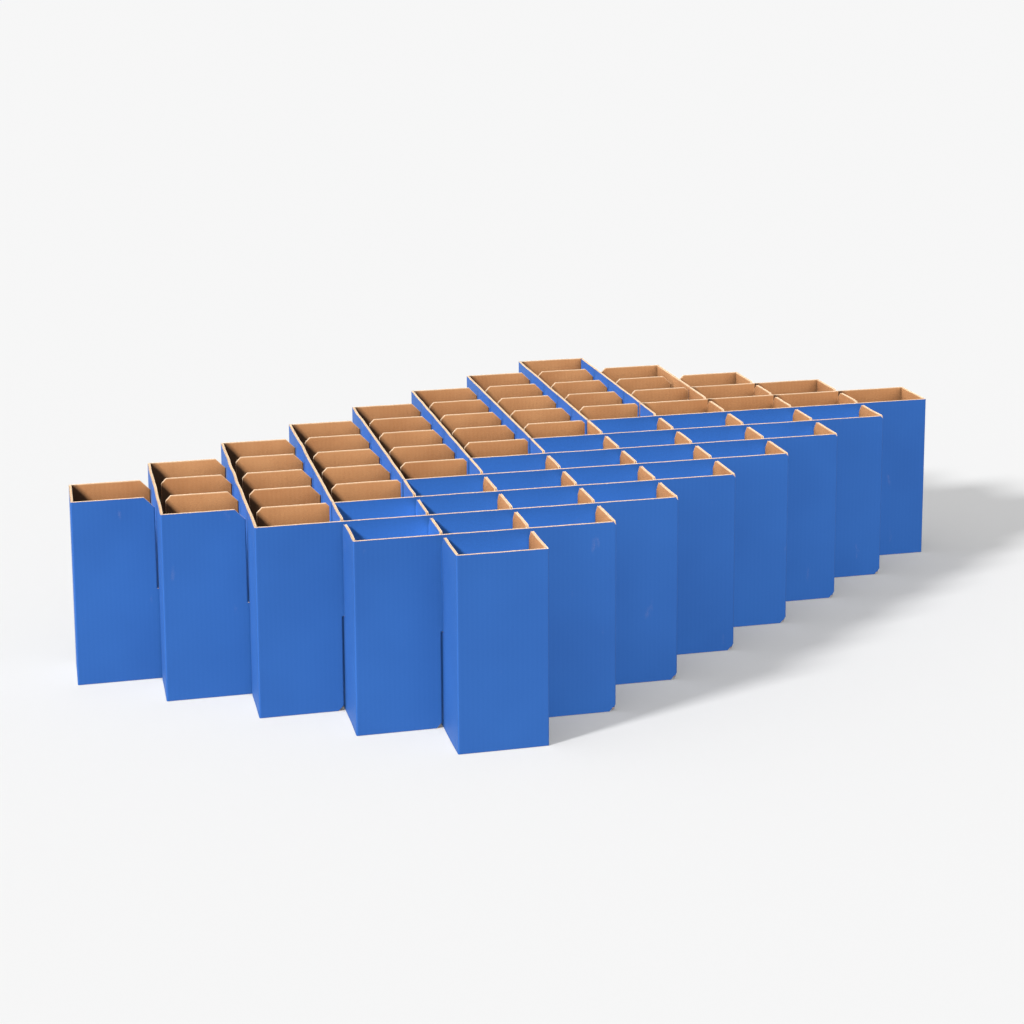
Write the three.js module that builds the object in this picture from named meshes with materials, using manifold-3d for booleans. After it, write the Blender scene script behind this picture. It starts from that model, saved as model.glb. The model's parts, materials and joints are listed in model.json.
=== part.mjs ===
// Folding bed base made of slotted corrugated-board loops.
// Eight closed loops of board stand on edge and are dropped over one another,
// half-height slot into half-height slot, so that they form a lattice of
// rhombic cells. The whole lattice shears like an accordion: every upright
// fold and every slotted crossing is a vertical hinge line.
//
// Units are millimetres, +Z is up, the floor is Z = 0. The origin is the
// vertical line through the middle crossing of the lattice. +X runs along the
// long diagonal of the base and +Y along the short one.

import * as THREE from 'three';
import { mergeVertices } from 'three/addons/utils/BufferGeometryUtils.js';
import Module from 'manifold-3d';

// ---- driving dimensions ----------------------------------------------------

const BOARD_HEIGHT = 300;      // height of the bed base
const BOARD_THICKNESS = 4.5;   // corrugated board, liner to liner
const CELL_PITCH = 136;        // fold to fold, or slot to slot, along a wall
const CELL_ANGLE = 83;         // angle between the two wall directions at rest, degrees
const OPEN_ANGLE = 40;         // sharpest angle between two walls in the whole travel, degrees
const CLEARANCE = 0.3;         // gap between boards that pass through or fold past each other

const LOOP_COUNT = 8;
const LOOP_SPAN = 5;           // a full loop is five cells long on each side
const CENTRE = { i: 2, j: 6 }; // lattice vertex that stands at the origin

const SLOT_OVERLAP = 2;        // the two half slots together are this much taller than the board
const TOP_MOUTH = 18;          // 45 degree lead-in at the mouth of a slot that opens upward
const BOTTOM_MOUTH = 10;       // the same for a slot that opens downward
const SLOT_EASE = 9;           // extra width behind the left-hand wall of a loop in its slots
const FOLD_RELIEF = 6;         // top corner trimmed off where a crossing wall folds round
const FOLD_RELIEF_LOW = 11;    // the same at the bottom corner
const FREE_END_TRIM = 5;       // top corner taken off a wall that ends at a double fold
const FREE_END_GAP = 6.5;      // such a wall stops this far from the fold line
const KNUCKLE_SEGMENTS = 6;    // facets of the half-round fold at the end of a wall

// ---- derived sizes ---------------------------------------------------------

const HALF = BOARD_THICKNESS / 2;
const OPEN = THREE.MathUtils.degToRad(OPEN_ANGLE);
const REST = THREE.MathUtils.degToRad(CELL_ANGLE);
const SLOT_WAIST = HALF / Math.sin(OPEN) + CLEARANCE;
const SLOT_LIP = HALF * (1 / Math.tan(OPEN) + 1 / Math.sin(OPEN)) + CLEARANCE;
const OVERSHOOT = 1;           // cutters run this far past the surface they open

const wasm = await Module();
wasm.setup();

// ---- solid helpers ---------------------------------------------------------

function toSolid(geometry) {
  const bare = new THREE.BufferGeometry();
  bare.setAttribute('position', geometry.getAttribute('position').clone());
  if (geometry.index) bare.setIndex(geometry.index.clone());
  const welded = mergeVertices(bare, 1e-5);
  return new wasm.Manifold(new wasm.Mesh({
    numProp: 3,
    vertProperties: new Float32Array(welded.getAttribute('position').array),
    triVerts: new Uint32Array(welded.index.array),
  }));
}

function toGeometry(solid) {
  const mesh = solid.getMesh();
  const geometry = new THREE.BufferGeometry();
  geometry.setAttribute('position', new THREE.BufferAttribute(new Float32Array(mesh.vertProperties), 3));
  geometry.setIndex(new THREE.BufferAttribute(new Uint32Array(mesh.triVerts), 1));
  return geometry;
}

function shapeFrom(points) {
  return new THREE.Shape(points.map(([x, y]) => new THREE.Vector2(x, y)));
}

// A plan outline (along the wall, across the wall) raised from low to high.
function upright(points, low, high) {
  const geometry = new THREE.ExtrudeGeometry(shapeFrom(points), { depth: high - low, bevelEnabled: false });
  geometry.translate(0, 0, low);
  return toSolid(geometry);
}

// A side outline (along the wall, height) pushed right through the board.
function throughBoard(points) {
  const depth = BOARD_THICKNESS + 2 * OVERSHOOT;
  const geometry = new THREE.ExtrudeGeometry(shapeFrom(points), { depth, bevelEnabled: false });
  geometry.rotateX(Math.PI / 2);
  geometry.translate(0, depth / 2, 0);
  return toSolid(geometry);
}

// ---- ends of a wall --------------------------------------------------------
// Each end is described in plan as a list of points, walked from the right
// face to the left face, for a wall that ends at u = 0 and lies on the
// negative side of it.

// Half-round fold: the board turns the corner on this radius.
function knuckleEnd() {
  const points = [];
  for (let n = 0; n <= KNUCKLE_SEGMENTS; n += 1) {
    const angle = -Math.PI / 2 + (Math.PI * n) / KNUCKLE_SEGMENTS;
    points.push([HALF * Math.cos(angle), HALF * Math.sin(angle)]);
  }
  return points;
}

// The wall that folds round a knuckle: mitred on each side where the other
// wall swings in (side -1 is the right face, +1 the left face).
function mitredEnd(sides) {
  const reach = HALF + CLEARANCE;
  const heel = (reach + HALF * Math.cos(OPEN)) / Math.sin(OPEN);
  const tip = reach / Math.sin(OPEN);
  if (sides.length === 2) {
    return [[-heel, -HALF], [-tip, 0], [-heel, HALF]];
  }
  const side = sides[0];
  const tangent = [-reach * Math.sin(OPEN), -side * reach * Math.cos(OPEN)];
  const toe = [-Math.sqrt(reach * reach - HALF * HALF) - CLEARANCE / 2, -side * HALF];
  const points = [toe, tangent, [-heel, side * HALF]];
  return side > 0 ? points : points.reverse();
}

// Square cut end.
function squareEnd(gap) {
  return [[-gap, -HALF], [-gap, HALF]];
}

function endPoints(end) {
  if (end.kind === 'knuckle') return knuckleEnd();
  if (end.kind === 'mitre') return mitredEnd(end.sides);
  return squareEnd(FREE_END_GAP);
}

// ---- one wall --------------------------------------------------------------
// start and end are cell counts along the wall's line; low and high describe
// the two ends; slots lists where other walls cross, and which way they open.

function wallSolid(wall) {
  const from = wall.start * CELL_PITCH;
  const to = wall.end * CELL_PITCH;
  const far = endPoints(wall.highEnd).map(([u, v]) => [to + u, v]);
  const near = endPoints(wall.lowEnd).map(([u, v]) => [from - u, -v]);
  let solid = upright([...far, ...near], 0, BOARD_HEIGHT);
  for (const slot of wall.slots) {
    solid = solid.subtract(slotSolid(slot.at * CELL_PITCH, slot.opens, slot.eased));
  }
  for (const cut of trimCuts(wall, from, to)) {
    solid = solid.subtract(cut);
  }
  return solid;
}

// Half-height slot, waisted in the middle of the board so that the crossing
// wall can turn in it, with a 45 degree lead-in at its mouth. An eased slot is
// cut straight and wider on its high side.
function slotSolid(at, opens, eased) {
  const middle = BOARD_HEIGHT / 2;
  const up = opens === 'up';
  const low = up ? middle - SLOT_OVERLAP / 2 : -OVERSHOOT;
  const high = up ? BOARD_HEIGHT + OVERSHOOT : middle + SLOT_OVERLAP / 2;
  const lip = HALF + OVERSHOOT;
  const slope = (SLOT_LIP - SLOT_WAIST) / HALF;
  const edge = SLOT_WAIST + slope * lip;
  const wide = SLOT_WAIST + SLOT_EASE;
  const highSide = eased
    ? [[at + wide, -lip], [at + wide, lip]]
    : [[at + edge, -lip], [at + SLOT_WAIST, 0], [at + edge, lip]];
  const plan = [[at - edge, -lip], ...highSide, [at - edge, lip], [at - SLOT_WAIST, 0]];
  return upright(plan, low, high).add(mouthSolid(at, up));
}

function mouthSolid(at, up) {
  const size = up ? TOP_MOUTH : BOTTOM_MOUTH;
  const half = SLOT_WAIST + size + OVERSHOOT;
  const face = up ? BOARD_HEIGHT + OVERSHOOT : -OVERSHOOT;
  const depth = up ? -half : half;
  return throughBoard([[at - half, face], [at + half, face], [at, face + depth]]);
}

// Small triangles trimmed off the corners of a wall.
function trimCuts(wall, from, to) {
  const cuts = [];
  const corner = (u, z, inward, down, size) => {
    const reach = size + OVERSHOOT;
    const u0 = u - inward * OVERSHOOT;
    const z0 = z - down * OVERSHOOT;
    cuts.push(throughBoard([[u0, z0], [u0 + inward * 2 * reach, z0], [u0, z0 + down * 2 * reach]]));
  };
  if (wall.lowEnd.trimTop) corner(from + wall.lowEnd.inset, BOARD_HEIGHT, 1, -1, wall.lowEnd.trimTop / 2);
  if (wall.highEnd.trimTop) corner(to - wall.highEnd.inset, BOARD_HEIGHT, -1, -1, wall.highEnd.trimTop / 2);
  if (wall.lowEnd.trimBottom) corner(from + wall.lowEnd.inset, 0, 1, 1, wall.lowEnd.trimBottom / 2);
  if (wall.highEnd.trimBottom) corner(to - wall.highEnd.inset, 0, -1, 1, wall.highEnd.trimBottom / 2);
  return cuts;
}

// ---- the loops -------------------------------------------------------------
// A loop is a list of walls between lattice vertices. 'along' walls keep j
// fixed and run in i; 'across' walls keep i fixed and run in j. The first two
// and the last two loops have one corner pushed in, so that the base as a
// whole keeps straight, stepped sides.

function fullLoop(k) {
  return [
    { role: 'front', line: 'along', at: k, start: k - 4, end: k + 1 },
    { role: 'right', line: 'across', at: k + 1, start: k, end: k + LOOP_SPAN },
    { role: 'back', line: 'along', at: k + LOOP_SPAN, start: k - 4, end: k + 1 },
    { role: 'left', line: 'across', at: k - 4, start: k, end: k + LOOP_SPAN },
  ];
}

// Loop k with its front left corner pushed in to the vertex (-k, 4 - k).
function frontEndLoop(k) {
  const inner = -k;
  return [
    { role: 'front', line: 'along', at: k, start: inner, end: k + 1 },
    { role: 'right', line: 'across', at: k + 1, start: k, end: k + LOOP_SPAN },
    { role: 'back', line: 'along', at: k + LOOP_SPAN, start: k - 4, end: k + 1 },
    { role: 'left', line: 'across', at: k - 4, start: 4 - k, end: k + LOOP_SPAN },
    { role: 'inner_front', line: 'along', at: 4 - k, start: k - 4, end: inner },
    { role: 'inner_left', line: 'across', at: inner, start: k, end: 4 - k },
  ];
}

// The same loop at the other end of the base: turned half a turn about the
// middle crossing, so its back right corner is the one pushed in.
function backEndLoop(k) {
  const swap = { front: 'back', back: 'front', left: 'right', right: 'left' };
  return frontEndLoop(LOOP_COUNT - 1 - k).map((wall) => {
    const fixed = wall.line === 'along' ? 2 * CENTRE.j : 2 * CENTRE.i;
    const moving = wall.line === 'along' ? 2 * CENTRE.i : 2 * CENTRE.j;
    return {
      role: wall.role.replace(/front|back|left|right/, (word) => swap[word]),
      line: wall.line,
      at: fixed - wall.at,
      start: moving - wall.end,
      end: moving - wall.start,
    };
  });
}

function loopWalls(k) {
  if (k < 2) return frontEndLoop(k);
  if (k > LOOP_COUNT - 3) return backEndLoop(k);
  return fullLoop(k);
}

function allWalls() {
  const walls = [];
  for (let k = 0; k < LOOP_COUNT; k += 1) {
    for (const wall of loopWalls(k)) {
      walls.push({ ...wall, loop: k, name: `loop${k + 1}_${wall.role}` });
    }
  }
  return walls;
}

// ---- crossings and folds ---------------------------------------------------

function meets(wall, other) {
  return wall.line !== other.line
    && other.at >= wall.start && other.at <= wall.end
    && wall.at >= other.start && wall.at <= other.end;
}

// Where a later loop is dropped over an earlier one, the earlier board is
// slotted from the top and the later board from the bottom.
function slotsOf(wall, walls) {
  const slots = [];
  for (const other of walls) {
    if (!meets(wall, other)) continue;
    const insideThis = other.at > wall.start && other.at < wall.end;
    const insideOther = wall.at > other.start && wall.at < other.end;
    if (insideThis && insideOther) {
      const opens = wall.loop < other.loop ? 'up' : 'down';
      const eased = opens === 'up' && other.role.endsWith('left');
      slots.push({ at: other.at, opens, eased });
    }
  }
  return slots;
}

// True when another loop's fold shares this wall's end point.
function sharesFold(wall, vertex, walls) {
  return walls.some((other) => other.loop !== wall.loop && other.line === wall.line
    && other.at === wall.at && (other.start === vertex || other.end === vertex));
}

// Which faces of an 'across' wall have a neighbour swinging towards them.
function swingSides(wall, vertex, highEnd, walls) {
  const sides = [];
  for (const other of walls) {
    if (other.line === wall.line || other.at !== vertex) continue;
    if (other.start !== wall.at && other.end !== wall.at) continue;
    const neighbourIsAhead = other.start === wall.at;
    // Looking outward along the wall, a neighbour on the +i side is on the right.
    const side = neighbourIsAhead ? -1 : 1;
    sides.push(highEnd ? side : -side);
  }
  return [...new Set(sides)];
}

function foldRelief(wanted) {
  return { trimTop: wanted ? FOLD_RELIEF : 0, trimBottom: wanted ? FOLD_RELIEF_LOW : 0 };
}

function endOf(wall, highEnd, walls) {
  const vertex = highEnd ? wall.end : wall.start;
  const shared = sharesFold(wall, vertex, walls);
  const outerFold = wall.role === 'front' && highEnd && wall.loop > 0 && wall.loop < LOOP_COUNT - 1;
  if (wall.line === 'along') {
    if (shared && highEnd) {
      return { kind: 'square', inset: FREE_END_GAP, trimTop: FREE_END_TRIM, trimBottom: 0 };
    }
    return { kind: 'knuckle', inset: -HALF, ...foldRelief(outerFold) };
  }
  const turnsOut = wall.role === 'right' && !highEnd && wall.loop > 0 && wall.loop < LOOP_COUNT - 1;
  const sides = swingSides(wall, vertex, highEnd, walls);
  return { kind: 'mitre', sides, inset: CLEARANCE, ...foldRelief(turnsOut) };
}

// ---- placing a wall --------------------------------------------------------

const ALONG = new THREE.Vector2(Math.cos(REST / 2), -Math.sin(REST / 2));
const ACROSS = new THREE.Vector2(Math.cos(REST / 2), Math.sin(REST / 2));

function placement(wall) {
  const direction = wall.line === 'along' ? ALONG : ACROSS;
  const sideways = wall.line === 'along' ? ACROSS : ALONG;
  const centre = wall.line === 'along' ? CENTRE : { i: CENTRE.j, j: CENTRE.i };
  const base = sideways.clone().multiplyScalar((wall.at - centre.j) * CELL_PITCH);
  base.addScaledVector(direction, -centre.i * CELL_PITCH);
  const matrix = new THREE.Matrix4().makeRotationZ(direction.angle());
  matrix.setPosition(base.x, base.y, 0);
  return matrix;
}

// ---- finishes --------------------------------------------------------------

const PRINTED_BLUE = 0x3570c8;
const KRAFT_BROWN = 0xc8966a;
const OUTSIDE_ROLES = ['front', 'left', 'inner_front', 'inner_left'];

function finish(wall) {
  const printed = OUTSIDE_ROLES.includes(wall.role);
  return new THREE.MeshStandardMaterial({
    color: printed ? PRINTED_BLUE : KRAFT_BROWN,
    roughness: printed ? 0.6 : 0.9,
    metalness: 0,
  });
}

// ---- assembly --------------------------------------------------------------

function buildWall(wall, walls) {
  const detailed = {
    ...wall,
    slots: slotsOf(wall, walls),
    lowEnd: endOf(wall, false, walls),
    highEnd: endOf(wall, true, walls),
  };
  const geometry = toGeometry(wallSolid(detailed));
  geometry.applyMatrix4(placement(wall));
  const mesh = new THREE.Mesh(geometry, finish(wall));
  mesh.name = wall.name;
  return mesh;
}

function buildBedBase() {
  const base = new THREE.Group();
  base.name = 'folding_bed_base';
  const walls = allWalls();
  for (const wall of walls) {
    base.add(buildWall(wall, walls));
  }
  return base;
}

export default buildBedBase();
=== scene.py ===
"""Looks for the folding cardboard bed base: every wall is rebuilt as real corrugated board.

Each CAD wall is replaced by one piece made of two liners and a fluted sheet between them,
with die-cut slots, chamfered slot mouths and folded ends in the same places as the CAD wall.
Units are metres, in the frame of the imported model.
"""

import json
import math

import bpy
import numpy as np
from mathutils import Matrix, Vector, noise


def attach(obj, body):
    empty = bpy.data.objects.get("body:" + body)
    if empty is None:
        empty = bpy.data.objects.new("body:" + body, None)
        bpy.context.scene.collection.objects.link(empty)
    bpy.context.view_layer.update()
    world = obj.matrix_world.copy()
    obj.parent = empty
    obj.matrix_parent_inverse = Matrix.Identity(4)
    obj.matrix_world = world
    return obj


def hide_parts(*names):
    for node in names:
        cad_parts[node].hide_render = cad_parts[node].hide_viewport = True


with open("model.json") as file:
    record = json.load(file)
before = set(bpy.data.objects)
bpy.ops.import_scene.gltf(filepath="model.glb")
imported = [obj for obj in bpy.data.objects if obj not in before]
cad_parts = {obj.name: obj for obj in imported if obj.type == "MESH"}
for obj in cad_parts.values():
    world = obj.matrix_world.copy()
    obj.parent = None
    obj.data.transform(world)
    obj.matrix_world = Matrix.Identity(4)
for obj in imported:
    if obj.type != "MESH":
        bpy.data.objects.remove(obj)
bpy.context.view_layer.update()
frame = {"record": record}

# ---- the board, in metres, as in the CAD ----
HEIGHT = 0.300
THICK = 0.0045
PITCH = 0.136
HALF = THICK / 2
ANGLE = math.radians(83.0)
OPEN = math.radians(40.0)      # sharpest angle that slots and mitres leave room for
CLEAR = 0.0003
SLOT_WAIST = HALF / math.sin(OPEN) + CLEAR      # half width of a slot, mid-board
SLOT_LIP = HALF * (1 / math.tan(OPEN) + 1 / math.sin(OPEN)) + CLEAR     # and at the faces
TOP_MOUTH = 0.018
BOTTOM_MOUTH = 0.010
SLOT_EASE = 0.009              # extra width of upper slots behind a left-hand wall
FOLD_RELIEF = 0.006            # cut corners where a front wall meets a right wall: top
FOLD_RELIEF_LOW = 0.011        # and bottom
FREE_END_TRIM = 0.005
FREE_END_GAP = 0.0065
HEEL = (HALF + CLEAR + HALF * math.cos(OPEN)) / math.sin(OPEN)  # mitre on the closing side
TIP = (HALF + CLEAR) / math.sin(OPEN)           # middle of a two-sided mitre
TOE = math.sqrt((HALF + CLEAR) ** 2 - HALF ** 2) + CLEAR / 2    # mitre on the opening side

# ---- what only the looks have ----
LINER = 0.00045                # thickness of a liner and of the fluted medium
MEDIUM = 0.00032
FLUTE = 0.0076
STEPS = 8                      # medium samples per flute
SLOT_EDGE = SLOT_WAIST + 0.0008
PINCHED = 0.0007               # half thickness of the board at a slot edge
BELLY = 0.0022                 # most that a board bellies between crossings
EDGE_BAND = 0.004              # rubbed band along upper and lower edges
PRINT_RUN_ON = 0.009           # how far the print of an inner front runs on, low down
FLAT = 0.00002                 # keeps two sheets from sharing a plane
MITRE_PAPER = 0.0008           # room for the paper over a mitre
KNUCKLE_STEPS = 8
JUST_INSIDE = 0.01             # step back from a fold to read the coat of its wall
MID_LOW = HEIGHT / 2 - 0.001   # foot of the upper half slots
MID_HIGH = HEIGHT / 2 + 0.001  # head of the lower half slots
FRAY = 0.00022                 # unevenness of the upper edges in long waves
FINE_FRAY = 0.00012            # and in short ones
MEDIUM_SUNK = 0.0003           # how much lower than the liners the medium ends
MEDIUM_BACK = 0.0002           # least distance of the medium from a fold line
# wear of the six rows of a column: upper edges are handled more than the ones on the floor
WEAR = (0.6, 0.0, 0.0, 0.0, 0.0, 1.0)

ALONG = Vector((math.cos(ANGLE / 2), -math.sin(ANGLE / 2), 0))
ACROSS = Vector((math.cos(ANGLE / 2), math.sin(ANGLE / 2), 0))
CI, CJ = 2, 6                  # the lattice vertex at the origin
LOOPS = 8


# ---- which walls there are ----
def end_loop(k):
    return [
        ("front", "a", k, -k, k + 1), ("right", "b", k + 1, k, k + 5),
        ("back", "a", k + 5, k - 4, k + 1), ("left", "b", k - 4, 4 - k, k + 5),
        ("inner_front", "a", 4 - k, k - 4, -k), ("inner_left", "b", -k, k, 4 - k),
    ]


def turned(wall):
    role, line, at, start, end = wall
    words = {"front": "back", "back": "front", "left": "right", "right": "left"}
    role = "_".join(words.get(w, w) for w in role.split("_"))
    fixed, moving = (2 * CJ, 2 * CI) if line == "a" else (2 * CI, 2 * CJ)
    return role, line, fixed - at, moving - end, moving - start


def loop_walls(k):
    if k < 2:
        return end_loop(k)
    if k > LOOPS - 3:
        return [turned(w) for w in end_loop(LOOPS - 1 - k)]
    return [("front", "a", k, k - 4, k + 1), ("right", "b", k + 1, k, k + 5),
            ("back", "a", k + 5, k - 4, k + 1), ("left", "b", k - 4, k, k + 5)]


class Wall:
    def __init__(self, k, role, line, at, start, end):
        self.k, self.role, self.line, self.at, self.start, self.end = k, role, line, at, start, end
        self.name = f"loop{k + 1}_{role}"
        self.slots, self.ends = [], []

    def bow(self, u, z):
        """The board bellies a little between crossings. At the crossings it is true."""
        cell = math.floor(u / PITCH)
        which = 7.0 if self.line == "a" else 3.0
        swell = noise.noise(Vector((cell * 1.7 + 0.3, self.at * 2.3 + self.k * 0.61, which)))
        along = math.sin(math.pi * u / PITCH) ** 2
        return BELLY * swell * along * (0.55 + 0.45 * z / HEIGHT)

    def place(self, u, v, z):
        """u along the wall, v towards its left face, both in metres."""
        v += self.bow(u, z)
        along, other = (ALONG, ACROSS) if self.line == "a" else (ACROSS, ALONG)
        ci, cj = (CI, CJ) if self.line == "a" else (CJ, CI)
        left = Vector((-along.y, along.x, 0))
        base = other * ((self.at - cj) * PITCH)
        return base + along * (u - ci * PITCH) + left * v + Vector((0, 0, z))


WALLS = [Wall(k, *w) for k in range(LOOPS) for w in loop_walls(k)]


def slots_of(w):
    """(position along the wall, which way it opens, extra width on its high side)."""
    slots = []
    for o in WALLS:
        if o.line == w.line or not (w.start < o.at < w.end and o.start < w.at < o.end):
            continue
        opens = "up" if w.k < o.k else "down"
        ease = SLOT_EASE if opens == "up" and o.role.endswith("left") else 0.0
        slots.append((o.at * PITCH, opens, ease))
    return slots


def end_of(w, high):
    """The shape of one end. Its sides are the faces (-1 right, +1 left) that a neighbour
    swings in on. inset, trim and bottom are lengths taken off the end and its corners."""
    vertex = w.end if high else w.start
    partners = [o for o in WALLS
                if o.line != w.line and o.at == vertex and w.at in (o.start, o.end)]
    away = 1 if w.line == "a" else -1
    sides = {away if o.start == w.at else -away for o in partners}
    shared = any(o.k != w.k and o.line == w.line and o.at == w.at
                 and vertex in (o.start, o.end) for o in WALLS)
    if w.line == "a" and shared and high:
        return {"kind": "square", "sides": sides, "inset": FREE_END_GAP,
                "trim": FREE_END_TRIM, "bottom": 0.0}
    relief = 0 < w.k < LOOPS - 1 and (w.role, high) in (("front", True), ("right", False))
    kind, inset = ("knuckle", -HALF) if w.line == "a" else ("mitre", CLEAR)
    return {"kind": kind, "sides": sides, "inset": inset,
            "trim": FOLD_RELIEF * relief, "bottom": FOLD_RELIEF_LOW * relief}


for w in WALLS:
    w.slots = slots_of(w)
    w.ends = [end_of(w, False), end_of(w, True)]


# ---- the outline of a wall ----
def near_slot(w, u):
    """(distance from the slot's middle, which way it opens, extra width on u's side)."""
    best = (math.inf, None, 0.0)
    for c, opens, ease in w.slots:
        if abs(u - c) < best[0]:
            best = (abs(u - c), opens, ease if u > c else 0.0)
    return best


def distance_from_end(w, u, n, inset=0.0):
    """How far u lies into the wall from its low end (n = 0) or high end (n = 1)."""
    return (u - (w.start * PITCH + inset)) if n == 0 else ((w.end * PITCH - inset) - u)


def top_and_bottom(w, u):
    top, bottom = HEIGHT, 0.0
    d, opens, _ = near_slot(w, u)
    if opens == "up":
        top = min(top, HEIGHT - max(0.0, SLOT_WAIST + TOP_MOUTH - max(d, SLOT_WAIST)))
    elif opens == "down":
        bottom = max(bottom, max(0.0, SLOT_WAIST + BOTTOM_MOUTH - max(d, SLOT_WAIST)))
    for n, end in enumerate(w.ends):
        into = distance_from_end(w, u, n, end["inset"])
        top = min(top, HEIGHT - max(0.0, end["trim"] - into))
        bottom = max(bottom, max(0.0, end["bottom"] - into))
    return top, bottom


def reach(w, high, face):
    """How far from its fold line the liner on that face (-1 right, +1 left, 0 the medium) stops."""
    end = w.ends[1 if high else 0]
    if end["kind"] == "knuckle":
        return 0.0
    if end["kind"] == "square":
        return end["inset"]
    if face == 0:
        return (HEEL + TOE) / 2 if len(end["sides"]) == 1 else (HEEL + TIP) / 2
    return HEEL if face in end["sides"] else TOE


def pinch(w, u, row):
    """Half thickness of the board: a die-cut slot edge is pressed together."""
    d, opens, ease = near_slot(w, u)
    if opens is None or ease or d > SLOT_LIP:
        return HALF
    if (opens == "up" and row < 3) or (opens == "down" and row > 2):
        return HALF
    t = min(1.0, max(0.0, (d - SLOT_EDGE) / (SLOT_LIP - SLOT_EDGE)))
    return PINCHED + (HALF - PINCHED) * t


def rows_at(w, u):
    """Heights of the six rows of a column. Rows 2 and 3 are the ends of the half slots."""
    top, bottom = top_and_bottom(w, u)
    uneven = FRAY * noise.noise(Vector((u * 60, w.at * 3.1 + w.k, 0.5)))
    uneven += FINE_FRAY * noise.noise(Vector((u * 400, w.at * 3.1 + w.k, 2.5)))
    if top > HEIGHT - 0.0001:
        top += min(0.0, uneven - 0.0001)
    return [bottom, bottom + EDGE_BAND, MID_LOW, MID_HIGH, top - EDGE_BAND, top]


def gap_rows(w, u0, u1):
    """The quads that a slot cuts out of the column from u0 to u1, counted from the floor."""
    d, opens, ease = near_slot(w, (u0 + u1) / 2)
    if d < SLOT_EDGE + ease:
        return {2, 3, 4} if opens == "up" else {0, 1, 2}
    return set()


def stations(w, u0, u1, step):
    """Column positions from u0 to u1, on a regular step, with every slot edge and mouth in it."""
    marks = {u0, u1}
    for c, opens, ease in w.slots:
        mouth = TOP_MOUTH if opens == "up" else BOTTOM_MOUTH
        marks.add(c + SLOT_EDGE + ease)
        for d in (SLOT_EDGE, (SLOT_EDGE + SLOT_LIP) / 2, SLOT_LIP, SLOT_WAIST + mouth):
            marks.update((c - d, c + d))
    for n, end in enumerate(w.ends):
        edge = (w.start * PITCH + end["inset"]) if n == 0 else (w.end * PITCH - end["inset"])
        for trim in {end["trim"], end["bottom"]} - {0.0}:
            marks.add(edge + trim if n == 0 else edge - trim)
    count = int(math.floor((u1 - u0) / step))
    regular = [math.ceil(u0 / step) * step + n * step for n in range(count + 2)]
    near = sorted(m for m in marks if u0 <= m <= u1)
    keep = [r for r in regular if u0 < r < u1 and min(abs(r - m) for m in near) > step * 0.3]
    return sorted(near + keep)


# ---- mesh building ----
class Sheets:
    """Collects closed sheets of board paper with a material per face and a (u, z) map."""

    def __init__(self):
        self.points, self.faces, self.slots = [], [], []
        self.uvs, self.edge, self.cell = [], [], []

    def add(self, front, back, uv, edge, skip, front_slot, back_slot, rim_slot, cut_slot,
            in_cell=None):
        """front and back: grids [column][row] of points. skip(column) gives the rows left out.
        The slot functions give the material of the quad at (column, row): on the two sides,
        on the rims at the folds and on the cut rims."""
        columns, rows = len(front), len(front[0])
        base = len(self.points)
        for grid in (front, back):
            for c in range(columns):
                for r in range(rows):
                    self.points.append(grid[c][r])
                    self.uvs.append(uv[c][r])
                    self.edge.append(edge[c][r])
                    self.cell.append(in_cell[c] if in_cell else 0.0)
        size = columns * rows
        index = lambda side, c, r: base + side * size + c * rows + r
        solid = {(c, r) for c in range(columns - 1) for r in range(rows - 1) if r not in skip(c)}
        for c, r in solid:
            a, b, d, e = (c, r), (c + 1, r), (c + 1, r + 1), (c, r + 1)
            self.quad([index(0, *p) for p in (a, b, d, e)], front_slot(c, r))
            self.quad([index(1, *p) for p in (e, d, b, a)], back_slot(c, r))
            sides = (((0, -1), (a, b)), ((1, 0), (b, d)), ((0, 1), (d, e)), ((-1, 0), (e, a)))
            for (dc, dr), (p, q) in sides:
                if (c + dc, r + dr) not in solid:
                    at_fold = not 0 <= c + dc < columns - 1
                    slot = rim_slot(c, r) if at_fold else cut_slot(c, r)
                    self.quad([index(0, *q), index(0, *p), index(1, *p), index(1, *q)], slot)

    def quad(self, corners, slot):
        self.faces.append(corners)
        self.slots.append(slot)


PRINT, KRAFT, CUT, FLUTED = 0, 1, 2, 3


def printed(w, face, u):
    """Is this face of the wall blue here? The outer side of every loop is printed."""
    outer = -1 if w.role in ("front", "inner_front", "right", "inner_right") else 1
    cell = u / PITCH
    blue = face == outer
    if w.name == "loop2_inner_front" and face == -1:
        blue = cell < -2
    if w.name == "loop1_inner_front" and face == -1:
        blue = cell < -3
    tucked = {"loop1_right": 4, "loop2_right": 5, "loop4_right": 7, "loop8_inner_right": 8}
    if w.name in tucked and face == 1:
        blue = cell > tucked[w.name]
    return blue


def faces_a_cell(w, face, u):
    """Does this face look into a cell of the lattice, or outward?"""
    near = math.floor(u / PITCH)
    if w.line == "a":
        i, j = near, w.at - (face < 0)
    else:
        i, j = w.at - (face > 0), near
    return 0 <= i + j <= 2 * LOOPS - 2 and 0 <= j - i <= LOOPS


def dragged(w, u, r):
    """The print is dragged round the crushed edges low down: lower slots and trimmed corners."""
    d, opens, _ = near_slot(w, u)
    crushed = opens == "down" and SLOT_EDGE < d < SLOT_LIP
    for n, end in enumerate(w.ends):
        into = distance_from_end(w, u, n)
        crushed = crushed or into < end["bottom"]
    return crushed and r < 2


def rim_coat(w, u, r):
    """Cut edges are bare board, apart from those the print is dragged over."""
    d, opens, ease = near_slot(w, u)
    low_slot = opens == "down" and r < 4 and d < SLOT_WAIST + BOTTOM_MOUTH
    slot_end = opens == "up" and r == 1 and d < SLOT_EDGE + ease
    return PRINT if dragged(w, u, r) or low_slot or slot_end else CUT


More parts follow.
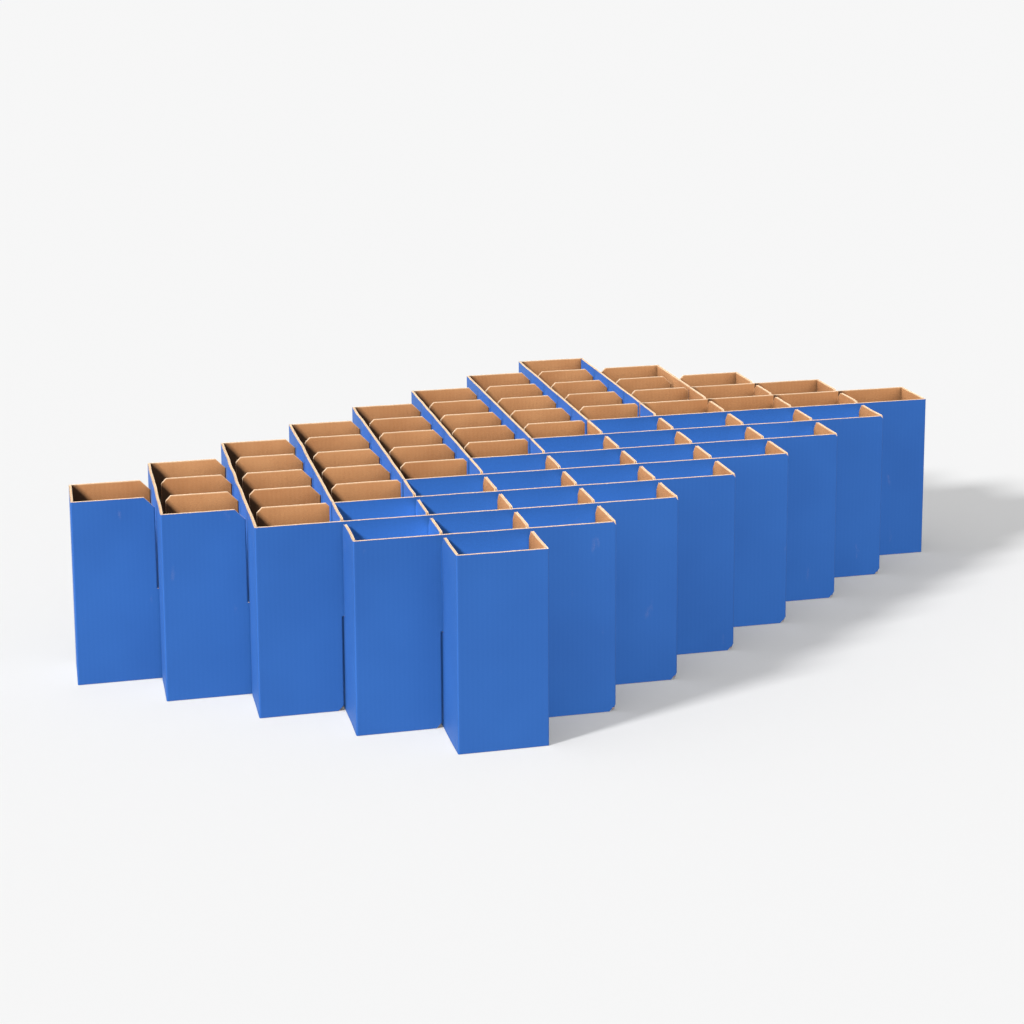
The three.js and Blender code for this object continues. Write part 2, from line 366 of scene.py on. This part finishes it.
def add_liner(sheets, w, face):
    """One flat liner, face -1 on the right of the wall and +1 on the left."""
    u0 = w.start * PITCH + reach(w, False, face)
    u1 = w.end * PITCH - reach(w, True, face)
    us = stations(w, u0, u1, FLUTE)
    outer, inner, uv, edge = [], [], [], []
    for u in us:
        rows = rows_at(w, u)
        outer.append([w.place(u, face * pinch(w, u, r), z) for r, z in enumerate(rows)])
        inner.append([w.place(u, face * (pinch(w, u, r) - LINER), z) for r, z in enumerate(rows)])
        uv.append([(u, z) for z in rows])
        edge.append(WEAR)
    skip = lambda c: gap_rows(w, us[c], us[c + 1])

    def coat(c, r):
        u = (us[c] + us[c + 1]) / 2
        if w.role == "inner_front" and face == -1 and r < 3:
            u -= PRINT_RUN_ON
        return PRINT if dragged(w, u, r) or printed(w, face, u) else KRAFT

    plain = lambda c, r: PRINT if dragged(w, (us[c] + us[c + 1]) / 2, r) else CUT
    cut = lambda c, r: rim_coat(w, (us[c] + us[c + 1]) / 2, r)
    in_cell = [float(faces_a_cell(w, face, u)) for u in us]
    if face < 0:
        sheets.add(outer, inner, uv, edge, skip, coat, plain, coat, cut, in_cell)
    else:
        sheets.add(inner, outer, uv, edge, skip, plain, coat, coat, cut, in_cell)


def behind_mitre(w, u, v):
    """Holds a point of the medium back behind the slanted end of the wall."""
    for n, end in enumerate(w.ends):
        if end["kind"] != "mitre":
            continue
        into = distance_from_end(w, u, n)
        foot, foot_v = (TOE, -HALF) if len(end["sides"]) == 1 else (TIP, 0.0)
        limit = foot_v + (HALF - foot_v) * (into - foot) / (HEEL - foot) - MITRE_PAPER
        for side in end["sides"]:
            if side * v > limit:
                v = side * limit
    return v


def add_medium(sheets, w):
    """The fluted sheet between the liners. Its flutes run upright."""
    u0 = w.start * PITCH + max(reach(w, False, 0), MEDIUM_BACK)
    u1 = w.end * PITCH - max(reach(w, True, 0), MEDIUM_BACK)
    us = stations(w, u0, u1, FLUTE / STEPS)
    right, left, uv, edge = [], [], [], []
    for u in us:
        rows = rows_at(w, u)
        wave = math.sin(2 * math.pi * u / FLUTE)
        lean = math.cos(2 * math.pi * u / FLUTE)
        cols = ([], [])
        for r, z in enumerate(rows):
            room = pinch(w, u, r) - LINER - MEDIUM * 0.5 - FLAT
            swing = behind_mitre(w, u, room * wave)
            for n, side in enumerate((-1, 1)):
                slide = -side * 0.5 * MEDIUM * lean * 0.8   # keeps its thickness on a slant
                sunk = MEDIUM_SUNK * ((r == 0) - (r == 5))
                cols[n].append(w.place(u + slide, swing + side * MEDIUM / 2, z + sunk))
        right.append(cols[0])
        left.append(cols[1])
        uv.append([(u, z) for z in rows])
        edge.append(WEAR)
    skip = lambda c: gap_rows(w, us[c], us[c + 1])
    paper = lambda c, r: PRINT if dragged(w, (us[c] + us[c + 1]) / 2, r) else FLUTED
    cut = lambda c, r: rim_coat(w, (us[c] + us[c + 1]) / 2, r)
    sheets.add(right, left, uv, edge, skip, paper, paper, paper, cut)


def add_strip(sheets, w, path, slot_of):
    """A narrow upright strip of liner that follows path, a list of (u, v, normal u, normal v)."""
    outer, inner, uv, edge = [], [], [], []
    for u, v, nu, nv in path:
        lo, hi = w.start * PITCH, w.end * PITCH
        rows = rows_at(w, min(max(u, lo - HALF), hi + HALF))
        outer.append([w.place(u, v, z) for z in rows])
        inner.append([w.place(u - nu * LINER, v - nv * LINER, z) for z in rows])
        uv.append([(u + 3 * v, z) for z in rows])
        edge.append(WEAR)
    bare = lambda c, r: CUT if r else slot_of(c, r)
    sheets.add(outer, inner, uv, edge, lambda c: set(), slot_of, bare, slot_of, bare)


def add_fold_end(sheets, w, high):
    end = w.ends[1 if high else 0]
    vertex = (w.end if high else w.start) * PITCH
    out = 1 if high else -1
    if end["kind"] == "knuckle":
        path = []
        for n in range(KNUCKLE_STEPS + 1):
            angle = -math.pi / 2 + math.pi * n / KNUCKLE_STEPS
            nu, nv = math.cos(angle) * out, math.sin(angle) * out
            path.append((vertex + HALF * nu, HALF * nv, nu, nv))
        inside = vertex - out * JUST_INSIDE
        first_face = -out
        split = KNUCKLE_STEPS // 2
        if len(end["sides"]) == 1:      # the outer side of the fold reaches past the tip
            split = 1 if first_face in end["sides"] else KNUCKLE_STEPS - 1

        def coat(c, r):
            face = first_face if c < split else -first_face
            return PRINT if printed(w, face, inside) else KRAFT
        add_strip(sheets, w, path, coat)
    elif end["kind"] == "mitre":
        flush = HALF - FLAT
        corners = [(-reach(w, high, -1), -flush), (-reach(w, high, 1), flush)]
        if len(end["sides"]) == 2:
            corners.insert(1, (-TIP, 0.0))
        if not high:
            corners = [(-u, v) for u, v in reversed(corners)]
        points = [(vertex + u, v) for u, v in corners]
        for (u0, v0), (u1, v1) in zip(points, points[1:]):
            length = math.hypot(u1 - u0, v1 - v0)
            nu = (v1 - v0) / length
            face = -1 if v0 + v1 * 0.5 < 0 else 1       # the face that the strip starts at
            faces, split = (face, face), 0.5
            if len(end["sides"]) == 1:
                faces, split = (face, -face), (0.2 if face in end["sides"] else 0.8)
            # the paper's thickness goes straight back into the wall, between the faces
            path = [(u0 + (u1 - u0) * t, v0 + (v1 - v0) * t, 1 / nu, 0.0)
                    for t in (0.0, split, 1.0)]
            inside = vertex - out * JUST_INSIDE
            coats = [PRINT if printed(w, f, inside) else KRAFT for f in faces]
            add_strip(sheets, w, path, lambda c, r, coats=coats: coats[c])


def build_wall(w, materials):
    sheets = Sheets()
    add_liner(sheets, w, -1)
    add_liner(sheets, w, 1)
    add_medium(sheets, w)
    add_fold_end(sheets, w, False)
    add_fold_end(sheets, w, True)
    mesh = bpy.data.meshes.new(w.name + "_board")
    mesh.from_pydata([tuple(p) for p in sheets.points], [], sheets.faces)
    for m in materials:
        mesh.materials.append(m)
    mesh.polygons.foreach_set("material_index", sheets.slots)
    layer = mesh.uv_layers.new(name="board")
    loops = np.zeros(len(mesh.loops), np.int32)
    mesh.loops.foreach_get("vertex_index", loops)
    layer.data.foreach_set("uv", np.array(sheets.uvs, np.float32)[loops].ravel())
    attribute = mesh.attributes.new("edge", "FLOAT", "POINT")
    attribute.data.foreach_set("value", np.array(sheets.edge, np.float32))
    # in_cell marks the faces that look into a cell, where the print gets its painted bounce light
    attribute = mesh.attributes.new("in_cell", "FLOAT", "POINT")
    attribute.data.foreach_set("value", np.array(sheets.cell, np.float32))
    # lengthwise marks the walls along the a lines, whose kraft carries the painted shadow wedge
    attribute = mesh.attributes.new("lengthwise", "FLOAT", "POINT")
    attribute.data.foreach_set("value", np.full(len(sheets.edge), float(w.line == "a"), np.float32))
    mesh.validate()
    mesh.update()
    piece = bpy.data.objects.new(w.name + "_board", mesh)
    bpy.context.scene.collection.objects.link(piece)
    return piece


# ---- materials ----
def srgb(r, g, b):
    def lin(c):
        c /= 255.0
        return c / 12.92 if c <= 0.04045 else ((c + 0.055) / 1.055) ** 2.4
    return (lin(r), lin(g), lin(b), 1.0)


class Nodes:
    """Small helper that keeps node graphs readable."""

    def __init__(self, name):
        self.material = bpy.data.materials.new(name)
        self.material.use_nodes = True
        self.tree = self.material.node_tree
        self.bsdf = self.tree.nodes["Principled BSDF"]

    def add(self, kind, **settings):
        node = self.tree.nodes.new(kind)
        for key, value in settings.items():
            setattr(node, key, value)
        return node

    def link(self, source, target):
        self.tree.links.new(source, target)

    def math(self, operation, a, b=0.0, clamp=False):
        node = self.add("ShaderNodeMath", operation=operation, use_clamp=clamp)
        for n, x in enumerate((a, b)):
            if isinstance(x, (int, float)):
                node.inputs[n].default_value = x
            else:
                self.link(x, node.inputs[n])
        return node.outputs[0]

    def mix(self, factor, a, b):
        node = self.add("ShaderNodeMix", data_type="RGBA")
        for socket, x in ((node.inputs[0], factor), (node.inputs[6], a), (node.inputs[7], b)):
            if isinstance(x, (int, float, tuple)):
                socket.default_value = x
            else:
                self.link(x, socket)
        return node.outputs[2]

    def noise(self, vector, scale, detail=3.0, roughness=0.55):
        node = self.add("ShaderNodeTexNoise")
        node.inputs["Scale"].default_value = scale
        node.inputs["Detail"].default_value = detail
        node.inputs["Roughness"].default_value = roughness
        self.link(vector, node.inputs["Vector"])
        return node.outputs[0]

    def ramp(self, value, low, high):
        node = self.add("ShaderNodeMapRange", clamp=True)
        node.inputs["From Min"].default_value = low
        node.inputs["From Max"].default_value = high
        self.link(value, node.inputs["Value"])
        return node.outputs[0]

    def board_map(self, along=1.0, up=1.0):
        uv = self.add("ShaderNodeUVMap", uv_map="board")
        scale = self.add("ShaderNodeMapping")
        scale.inputs["Scale"].default_value = (along, up, 1.0)
        self.link(uv.outputs[0], scale.inputs["Vector"])
        return scale.outputs[0]

    def washboard(self):
        """The flutes telegraph through the liner as faint upright ripples."""
        uv = self.add("ShaderNodeUVMap", uv_map="board")
        split = self.add("ShaderNodeSeparateXYZ")
        self.link(uv.outputs[0], split.inputs[0])
        turn = self.math("MULTIPLY", split.outputs[0], 2 * math.pi / FLUTE)
        return self.math("SINE", turn)

    def bump(self, height, strength, distance, normal=None):
        node = self.add("ShaderNodeBump")
        node.inputs["Strength"].default_value = strength
        node.inputs["Distance"].default_value = distance
        self.link(height, node.inputs["Height"])
        if normal is not None:
            self.link(normal, node.inputs["Normal"])
        return node.outputs[0]


def printed_liner():
    n = Nodes("printed_liner")
    place = n.add("ShaderNodeTexCoord").outputs["Object"]
    fibre = n.noise(n.board_map(260.0, 900.0), 1.0, 4.0)
    cloud = n.noise(place, 5.0, 2.0)
    speck = n.noise(n.board_map(1400.0, 1400.0), 1.0, 2.0, 0.7)
    deep, light = srgb(31, 80, 148), srgb(36, 87, 157)
    colour = n.mix(n.ramp(cloud, 0.3, 0.7), deep, light)
    colour = n.mix(n.math("MULTIPLY", n.ramp(fibre, 0.35, 0.75), 0.16), colour, srgb(26, 70, 134))
    ripple = n.washboard()
    colour = n.mix(n.math("MULTIPLY", n.math("ADD", ripple, 1.0), 0.02), colour, srgb(58, 108, 184))
    # kraft shows where the print is rubbed off along cut edges
    edge = n.add("ShaderNodeAttribute", attribute_name="edge").outputs["Fac"]
    worn = n.math("MULTIPLY", n.ramp(edge, 0.78, 1.0), n.ramp(speck, 0.45, 0.62))
    patch = n.ramp(n.noise(n.board_map(35.0, 12.0), 1.0, 5.0), 0.68, 0.78)
    scuff = n.math("MULTIPLY", patch, n.ramp(speck, 0.5, 0.6))
    wear = n.math("ADD", n.math("MULTIPLY", worn, 0.6), n.math("MULTIPLY", scuff, 0.25), clamp=True)
    colour = n.mix(wear, colour, srgb(206, 176, 140))
    # painted light: near the top of a cell, where the AO node finds walls close by, the print is
    # painted a lighter blue, standing in for blue light thrown to and fro between printed walls
    shade = n.add("ShaderNodeAmbientOcclusion", samples=6)
    shade.inputs["Distance"].default_value = 0.16
    height = n.add("ShaderNodeSeparateXYZ")
    n.link(place, height.inputs[0])
    near_top = n.ramp(height.outputs[2], 0.14, 0.24)
    painted_bounce_light = n.math("MULTIPLY", n.ramp(shade.outputs["AO"], 0.70, 0.30), near_top)
    in_cell = n.add("ShaderNodeAttribute", attribute_name="in_cell").outputs["Fac"]
    painted_bounce_light = n.math("MULTIPLY", painted_bounce_light, in_cell)
    colour = n.mix(painted_bounce_light, colour, srgb(58, 122, 220))
    # as seen by bounced light the print is greyer, so that the pale floor keeps its colour
    bounced = n.add("ShaderNodeLightPath").outputs["Is Diffuse Ray"]
    colour = n.mix(n.math("MULTIPLY", bounced, 0.75), colour, (0.42, 0.42, 0.42, 1.0))
    n.link(colour, n.bsdf.inputs["Base Color"])
    n.link(n.math("ADD", n.math("MULTIPLY", fibre, 0.2), 0.5), n.bsdf.inputs["Roughness"])
    n.bsdf.inputs["Specular IOR Level"].default_value = 0.22
    first = n.bump(ripple, 0.10, 0.00008)
    second = n.bump(fibre, 0.25, 0.0001, first)
    n.link(second, n.bsdf.inputs["Normal"])
    return n.material


def kraft_liner():
    n = Nodes("kraft_liner")
    place = n.add("ShaderNodeTexCoord").outputs["Object"]
    fibre = n.noise(n.board_map(180.0, 1100.0), 1.0, 5.0, 0.65)
    cloud = n.noise(place, 9.0, 3.0)
    speck = n.noise(n.board_map(1500.0, 1500.0), 1.0, 2.0, 0.8)
    colour = n.mix(n.ramp(cloud, 0.3, 0.72), srgb(175, 120, 77), srgb(197, 142, 95))
    colour = n.mix(n.math("MULTIPLY", n.ramp(fibre, 0.35, 0.7), 0.35), colour, srgb(158, 106, 66))
    colour = n.mix(n.math("MULTIPLY", n.ramp(speck, 0.62, 0.72), 0.5), colour, srgb(110, 72, 44))
    colour = n.mix(n.math("MULTIPLY", n.ramp(speck, 0.36, 0.26), 0.35), colour, srgb(232, 196, 156))
    ripple = n.washboard()
    colour = n.mix(n.math("MULTIPLY", n.math("ADD", ripple, 1.0), 0.02), colour, srgb(220, 176, 132))
    edge = n.add("ShaderNodeAttribute", attribute_name="edge").outputs["Fac"]
    colour = n.mix(n.math("MULTIPLY", n.ramp(edge, 0.55, 1.0), 0.45), colour, srgb(246, 216, 178))
    # painted shade: where the AO node finds walls close by, the kraft is painted darker, standing in
    # for light dying away inside the narrow cells
    shade = n.add("ShaderNodeAmbientOcclusion", samples=6)
    shade.inputs["Distance"].default_value = 0.16
    colour = n.mix(n.ramp(shade.outputs["AO"], 0.24, 0.50), (0.035, 0.018, 0.010, 1.0), colour)
    # painted shadow: a dark wedge is painted on the near end of each lengthwise wall, below a
    # slanting line, where the cell's left wall keeps the light off
    uv = n.add("ShaderNodeUVMap", uv_map="board")
    where = n.add("ShaderNodeSeparateXYZ")
    n.link(uv.outputs[0], where.inputs[0])
    across = n.math("FRACT", n.math("DIVIDE", where.outputs[0], PITCH))
    sunk = n.math("DIVIDE", n.math("SUBTRACT", HEIGHT, where.outputs[1]), PITCH)
    painted_shadow_wedge = n.ramp(n.math("SUBTRACT", n.math("MULTIPLY", sunk, 0.9), across), -0.10, -0.02)
    painted_shadow_wedge = n.math("MULTIPLY", painted_shadow_wedge, n.ramp(across, 0.40, 0.16))
    lengthwise = n.add("ShaderNodeAttribute", attribute_name="lengthwise").outputs["Fac"]
    painted_shadow_wedge = n.math("MULTIPLY", painted_shadow_wedge, n.math("MULTIPLY", lengthwise, 0.85))
    colour = n.mix(painted_shadow_wedge, colour, (0.022, 0.014, 0.010, 1.0))
    bounced = n.add("ShaderNodeLightPath").outputs["Is Diffuse Ray"]
    colour = n.mix(n.math("MULTIPLY", bounced, 0.6), colour, (0.05, 0.03, 0.02, 1.0))
    n.link(colour, n.bsdf.inputs["Base Color"])
    n.bsdf.inputs["Roughness"].default_value = 0.88
    n.bsdf.inputs["Specular IOR Level"].default_value = 0.15
    first = n.bump(ripple, 0.2, 0.00012)
    second = n.bump(fibre, 0.5, 0.00015, first)
    n.link(second, n.bsdf.inputs["Normal"])
    return n.material


def cut_edge():
    n = Nodes("cut_edge")
    fuzz = n.noise(n.board_map(600.0, 2600.0), 1.0, 4.0, 0.7)
    colour = n.mix(n.ramp(fuzz, 0.38, 0.62), srgb(196, 160, 124), srgb(252, 236, 210))
    n.link(colour, n.bsdf.inputs["Base Color"])
    n.bsdf.inputs["Roughness"].default_value = 0.95
    n.bsdf.inputs["Specular IOR Level"].default_value = 0.1
    n.link(n.bump(fuzz, 0.6, 0.0002), n.bsdf.inputs["Normal"])
    return n.material


def fluted_paper():
    n = Nodes("fluted_paper")
    fuzz = n.noise(n.board_map(1200.0, 1800.0), 1.0, 4.0, 0.7)
    colour = n.mix(n.ramp(fuzz, 0.3, 0.7), srgb(170, 120, 80), srgb(214, 170, 128))
    edge = n.add("ShaderNodeAttribute", attribute_name="edge").outputs["Fac"]
    colour = n.mix(n.math("MULTIPLY", n.ramp(edge, 0.3, 1.0), 0.8), colour, srgb(244, 218, 184))
    n.link(colour, n.bsdf.inputs["Base Color"])
    n.bsdf.inputs["Roughness"].default_value = 0.95
    n.bsdf.inputs["Specular IOR Level"].default_value = 0.1
    n.link(n.bump(fuzz, 0.5, 0.0002), n.bsdf.inputs["Normal"])
    return n.material


def floor_paper():
    n = Nodes("floor")
    n.bsdf.inputs["Base Color"].default_value = (0.90, 0.90, 0.90, 1)
    n.bsdf.inputs["Roughness"].default_value = 1.0
    n.bsdf.inputs["Specular IOR Level"].default_value = 0.0
    return n.material


# ---- the walls ----
MATERIALS = [printed_liner(), kraft_liner(), cut_edge(), fluted_paper()]
NODE_BODY = {node: body
             for body, members in frame["record"]["behaviour"]["bodies"].items()
             for node in members}

BOARDS = []
for wall in WALLS:
    board = build_wall(wall, MATERIALS)
    BOARDS.append(board)
    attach(board, NODE_BODY[wall.name])
    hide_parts(wall.name)


# ---- stage, light and camera ----
def add_floor():
    mesh = bpy.data.meshes.new("floor")
    size, level = 40.0, -0.0004
    corners = [(x * size, y * size, level) for x, y in ((-1, -1), (1, -1), (1, 1), (-1, 1))]
    mesh.from_pydata(corners, [], [(0, 1, 2, 3)])
    mesh.materials.append(floor_paper())
    floor = bpy.data.objects.new("floor", mesh)
    bpy.context.scene.collection.objects.link(floor)
    return floor


def add_world():
    world = bpy.data.worlds.new("studio")
    world.use_nodes = True
    background = world.node_tree.nodes["Background"]
    background.inputs["Color"].default_value = (1.0, 1.0, 1.0, 1)
    background.inputs["Strength"].default_value = 0.64
    bpy.context.scene.world = world


def only(name, objects):
    """A set of objects that a light is limited to."""
    group = bpy.data.collections.new(name)
    for o in objects:
        group.objects.link(o)
    return group


def add_sun(name, azimuth, elevation, strength, softness, receivers, blockers=None):
    """A distant soft light that stands at azimuth and elevation, all angles in degrees."""
    light = bpy.data.lights.new(name, "SUN")
    light.energy = strength
    light.angle = math.radians(softness)
    lamp = bpy.data.objects.new(name, light)
    a, e = math.radians(azimuth), math.radians(elevation)
    towards = Vector((math.cos(a) * math.cos(e), math.sin(a) * math.cos(e), math.sin(e)))
    lamp.rotation_euler = towards.to_track_quat("Z", "Y").to_euler()
    bpy.context.scene.collection.objects.link(lamp)
    lamp.light_linking.receiver_collection = receivers
    if blockers is not None:
        lamp.light_linking.blocker_collection = blockers


def add_soft_box(name, place, aim, size, power, receivers):
    """A square soft box close by, which lights the near end of the base more than the far end."""
    light = bpy.data.lights.new(name, "AREA")
    light.energy = power
    light.size = size
    lamp = bpy.data.objects.new(name, light)
    lamp.location = place
    lamp.rotation_euler = (Vector(place) - Vector(aim)).to_track_quat("Z", "Y").to_euler()
    bpy.context.scene.collection.objects.link(lamp)
    lamp.light_linking.receiver_collection = receivers


def add_camera():
    """The view of the photograph: a long lens, low, from the front left corner."""
    yaw, pitch, roll = (math.radians(a) for a in (31.170, 12.535, -0.307))
    level = math.cos(pitch)
    forward = Vector((math.cos(yaw) * level, math.sin(yaw) * level, -math.sin(pitch)))
    right = Vector((math.sin(yaw), -math.cos(yaw), 0))
    up = right.cross(forward)
    side = right * math.cos(roll) + up * math.sin(roll)
    top = up * math.cos(roll) - right * math.sin(roll)
    data = bpy.data.cameras.new("camera")
    data.sensor_width = 36.0
    data.lens = 92.58
    data.clip_end = 200.0
    camera = bpy.data.objects.new("camera", data)
    turn = Matrix((side, top, -forward)).transposed().to_4x4()
    turn.translation = Vector((-3.93408, -2.33965, 1.18439))
    camera.matrix_world = turn
    bpy.context.scene.collection.objects.link(camera)
    bpy.context.scene.camera = camera


floor = add_floor()
add_world()
on_floor = only("on_floor", [floor])
on_board = only("on_board", BOARDS)
# the key is shaded only by these walls, so that the stepped right-hand row is lit evenly
shading = only("shading", [board for board, wall in zip(BOARDS, WALLS)
                           if wall.role.split("_")[-1] in ("left", "back")])
add_sun("floor_key", 165.0, 26.0, 2.8, 8.0, on_floor)
add_sun("front_key", 199.0, 21.0, 2.7, 4.0, on_board, shading)
add_sun("front_fill", 238.0, 45.0, 0.3, 20.0, on_board)
add_sun("left_fill", 136.0, 25.0, 2.2, 20.0, on_board)
add_sun("back_fill", 40.0, 20.0, 2.1, 30.0, on_board)
add_soft_box("left_box", (-2.4, 1.0, 0.9), (-0.6, 0.1, 0.2), 0.9, 12.0, on_board)
add_camera()
bpy.context.scene.view_settings.view_transform = "Standard"
